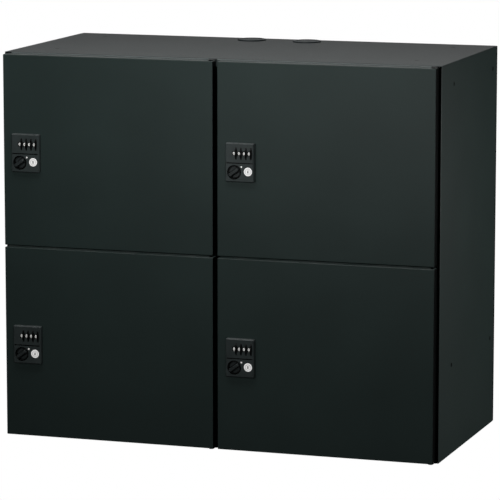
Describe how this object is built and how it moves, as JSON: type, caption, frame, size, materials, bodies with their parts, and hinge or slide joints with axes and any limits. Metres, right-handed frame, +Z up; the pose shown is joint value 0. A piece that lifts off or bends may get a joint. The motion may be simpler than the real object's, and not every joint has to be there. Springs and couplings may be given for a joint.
{
  "type": "parcel locker",
  "caption": "Steel parcel locker: a box cabinet in two columns and two rows of compartments, each closed by a side-hung door with a mechanical dial combination lock.",
  "frame": {"origin": "middle of the underside of the bottom panel, at floor level", "axes": "+Z up, doors face -Y, +X to the right seen from the front"},
  "size_m": [0.9, 0.4666, 0.778],
  "materials": {
    "cabinet_coat": "matte fine-texture powder coat",
    "back_coat": "matte powder coat",
    "door_coat": "matte fine-texture powder coat",
    "lock_plastic": "fine-textured moulded plastic",
    "dial_plastic": "satin moulded plastic with white digits",
    "knob_plastic": "satin moulded plastic",
    "key_steel": "turned and polished",
    "zinc_steel": "zinc plated",
    "hinge_steel": "black electro-coat",
    "black_screw": "black oxide",
    "buffer_rubber": "moulded rubber",
    "black_plug": "moulded plastic"
  },
  "bodies": {
    "cabinet": {"left_side_panel": "cabinet_coat", "right_side_panel": "cabinet_coat", "top_panel": "cabinet_coat", "bottom_panel": "cabinet_coat", "back_panel": "back_coat", "centre_strip": "cabinet_coat", "centre_partition": "cabinet_coat", "left_shelf": "cabinet_coat", "right_shelf": "cabinet_coat", "hinge_plates": "hinge_steel", "hinge_pins": "hinge_steel", "hinge_screws": "zinc_steel", "back_screws": "black_screw", "door_buffers": "buffer_rubber", "hole_plugs": "black_plug", "cable_caps": "black_plug"},
    "upper_left_door": {"upper_left_door_skin": "door_coat", "upper_left_door_inner": "door_coat", "upper_left_lock_plate": "lock_plastic", "upper_left_lock_case": "lock_plastic"},
    "upper_left_dial_1": {"upper_left_dial_1": "dial_plastic"},
    "upper_left_dial_2": {"upper_left_dial_2": "dial_plastic"},
    "upper_left_dial_3": {"upper_left_dial_3": "dial_plastic"},
    "upper_left_dial_4": {"upper_left_dial_4": "dial_plastic"},
    "upper_left_knob": {"upper_left_knob": "knob_plastic", "upper_left_cam": "zinc_steel"},
    "upper_left_key": {"upper_left_key_plug": "key_steel"},
    "upper_right_door": {"upper_right_door_skin": "door_coat", "upper_right_door_inner": "door_coat", "upper_right_lock_plate": "lock_plastic", "upper_right_lock_case": "lock_plastic"},
    "upper_right_dial_1": {"upper_right_dial_1": "dial_plastic"},
    "upper_right_dial_2": {"upper_right_dial_2": "dial_plastic"},
    "upper_right_dial_3": {"upper_right_dial_3": "dial_plastic"},
    "upper_right_dial_4": {"upper_right_dial_4": "dial_plastic"},
    "upper_right_knob": {"upper_right_knob": "knob_plastic", "upper_right_cam": "zinc_steel"},
    "upper_right_key": {"upper_right_key_plug": "key_steel"},
    "lower_left_door": {"lower_left_door_skin": "door_coat", "lower_left_door_inner": "door_coat", "lower_left_lock_plate": "lock_plastic", "lower_left_lock_case": "lock_plastic"},
    "lower_left_dial_1": {"lower_left_dial_1": "dial_plastic"},
    "lower_left_dial_2": {"lower_left_dial_2": "dial_plastic"},
    "lower_left_dial_3": {"lower_left_dial_3": "dial_plastic"},
    "lower_left_dial_4": {"lower_left_dial_4": "dial_plastic"},
    "lower_left_knob": {"lower_left_knob": "knob_plastic", "lower_left_cam": "zinc_steel"},
    "lower_left_key": {"lower_left_key_plug": "key_steel"},
    "lower_right_door": {"lower_right_door_skin": "door_coat", "lower_right_door_inner": "door_coat", "lower_right_lock_plate": "lock_plastic", "lower_right_lock_case": "lock_plastic"},
    "lower_right_dial_1": {"lower_right_dial_1": "dial_plastic"},
    "lower_right_dial_2": {"lower_right_dial_2": "dial_plastic"},
    "lower_right_dial_3": {"lower_right_dial_3": "dial_plastic"},
    "lower_right_dial_4": {"lower_right_dial_4": "dial_plastic"},
    "lower_right_knob": {"lower_right_knob": "knob_plastic", "lower_right_cam": "zinc_steel"},
    "lower_right_key": {"lower_right_key_plug": "key_steel"}
  },
  "joints": [
    {"name": "upper_left_door_hinge", "type": "hinge", "parent": "cabinet", "child": "upper_left_door", "pos_m": [-0.011, -0.217, 0.58075], "axis": [0, 0, 1], "range_deg": [0, 110]},
    {"name": "upper_left_dial_1_turn", "type": "hinge", "parent": "upper_left_door", "child": "upper_left_dial_1", "pos_m": [-0.4074, -0.2222, 0.5947], "axis": [1, 0, 0], "continuous": true},
    {"name": "upper_left_dial_2_turn", "type": "hinge", "parent": "upper_left_door", "child": "upper_left_dial_2", "pos_m": [-0.3972, -0.2222, 0.5947], "axis": [1, 0, 0], "continuous": true},
    {"name": "upper_left_dial_3_turn", "type": "hinge", "parent": "upper_left_door", "child": "upper_left_dial_3", "pos_m": [-0.387, -0.2222, 0.5947], "axis": [1, 0, 0], "continuous": true},
    {"name": "upper_left_dial_4_turn", "type": "hinge", "parent": "upper_left_door", "child": "upper_left_dial_4", "pos_m": [-0.3768, -0.2222, 0.5947], "axis": [1, 0, 0], "continuous": true},
    {"name": "upper_left_knob_turn", "type": "hinge", "parent": "upper_left_door", "child": "upper_left_knob", "pos_m": [-0.4064, -0.2353, 0.558], "axis": [0, 1, 0], "range_deg": [0, 90]},
    {"name": "upper_left_key_turn", "type": "hinge", "parent": "upper_left_door", "child": "upper_left_key", "pos_m": [-0.3779, -0.2353, 0.5598], "axis": [0, 1, 0], "range_deg": [0, 90]},
    {"name": "upper_right_door_hinge", "type": "hinge", "parent": "cabinet", "child": "upper_right_door", "pos_m": [0.4385, -0.217, 0.58075], "axis": [0, 0, 1], "range_deg": [0, 110]},
    {"name": "upper_right_dial_1_turn", "type": "hinge", "parent": "upper_right_door", "child": "upper_right_dial_1", "pos_m": [0.0421, -0.2222, 0.5947], "axis": [1, 0, 0], "continuous": true},
    {"name": "upper_right_dial_2_turn", "type": "hinge", "parent": "upper_right_door", "child": "upper_right_dial_2", "pos_m": [0.0523, -0.2222, 0.5947], "axis": [1, 0, 0], "continuous": true},
    {"name": "upper_right_dial_3_turn", "type": "hinge", "parent": "upper_right_door", "child": "upper_right_dial_3", "pos_m": [0.0625, -0.2222, 0.5947], "axis": [1, 0, 0], "continuous": true},
    {"name": "upper_right_dial_4_turn", "type": "hinge", "parent": "upper_right_door", "child": "upper_right_dial_4", "pos_m": [0.0727, -0.2222, 0.5947], "axis": [1, 0, 0], "continuous": true},
    {"name": "upper_right_knob_turn", "type": "hinge", "parent": "upper_right_door", "child": "upper_right_knob", "pos_m": [0.0431, -0.2353, 0.558], "axis": [0, 1, 0], "range_deg": [0, 90]},
    {"name": "upper_right_key_turn", "type": "hinge", "parent": "upper_right_door", "child": "upper_right_key", "pos_m": [0.0716, -0.2353, 0.5598], "axis": [0, 1, 0], "range_deg": [0, 90]},
    {"name": "lower_left_door_hinge", "type": "hinge", "parent": "cabinet", "child": "lower_left_door", "pos_m": [-0.011, -0.217, 0.19425], "axis": [0, 0, 1], "range_deg": [0, 110]},
    {"name": "lower_left_dial_1_turn", "type": "hinge", "parent": "lower_left_door", "child": "lower_left_dial_1", "pos_m": [-0.4074, -0.2222, 0.2082], "axis": [1, 0, 0], "continuous": true},
    {"name": "lower_left_dial_2_turn", "type": "hinge", "parent": "lower_left_door", "child": "lower_left_dial_2", "pos_m": [-0.3972, -0.2222, 0.2082], "axis": [1, 0, 0], "continuous": true},
    {"name": "lower_left_dial_3_turn", "type": "hinge", "parent": "lower_left_door", "child": "lower_left_dial_3", "pos_m": [-0.387, -0.2222, 0.2082], "axis": [1, 0, 0], "continuous": true},
    {"name": "lower_left_dial_4_turn", "type": "hinge", "parent": "lower_left_door", "child": "lower_left_dial_4", "pos_m": [-0.3768, -0.2222, 0.2082], "axis": [1, 0, 0], "continuous": true},
    {"name": "lower_left_knob_turn", "type": "hinge", "parent": "lower_left_door", "child": "lower_left_knob", "pos_m": [-0.4064, -0.2353, 0.1715], "axis": [0, 1, 0], "range_deg": [0, 90]},
    {"name": "lower_left_key_turn", "type": "hinge", "parent": "lower_left_door", "child": "lower_left_key", "pos_m": [-0.3779, -0.2353, 0.1733], "axis": [0, 1, 0], "range_deg": [0, 90]},
    {"name": "lower_right_door_hinge", "type": "hinge", "parent": "cabinet", "child": "lower_right_door", "pos_m": [0.4385, -0.217, 0.19425], "axis": [0, 0, 1], "range_deg": [0, 110]},
    {"name": "lower_right_dial_1_turn", "type": "hinge", "parent": "lower_right_door", "child": "lower_right_dial_1", "pos_m": [0.0421, -0.2222, 0.2082], "axis": [1, 0, 0], "continuous": true},
    {"name": "lower_right_dial_2_turn", "type": "hinge", "parent": "lower_right_door", "child": "lower_right_dial_2", "pos_m": [0.0523, -0.2222, 0.2082], "axis": [1, 0, 0], "continuous": true},
    {"name": "lower_right_dial_3_turn", "type": "hinge", "parent": "lower_right_door", "child": "lower_right_dial_3", "pos_m": [0.0625, -0.2222, 0.2082], "axis": [1, 0, 0], "continuous": true},
    {"name": "lower_right_dial_4_turn", "type": "hinge", "parent": "lower_right_door", "child": "lower_right_dial_4", "pos_m": [0.0727, -0.2222, 0.2082], "axis": [1, 0, 0], "continuous": true},
    {"name": "lower_right_knob_turn", "type": "hinge", "parent": "lower_right_door", "child": "lower_right_knob", "pos_m": [0.0431, -0.2353, 0.1715], "axis": [0, 1, 0], "range_deg": [0, 90]},
    {"name": "lower_right_key_turn", "type": "hinge", "parent": "lower_right_door", "child": "lower_right_key", "pos_m": [0.0716, -0.2353, 0.1733], "axis": [0, 1, 0], "range_deg": [0, 90]}
  ]
}
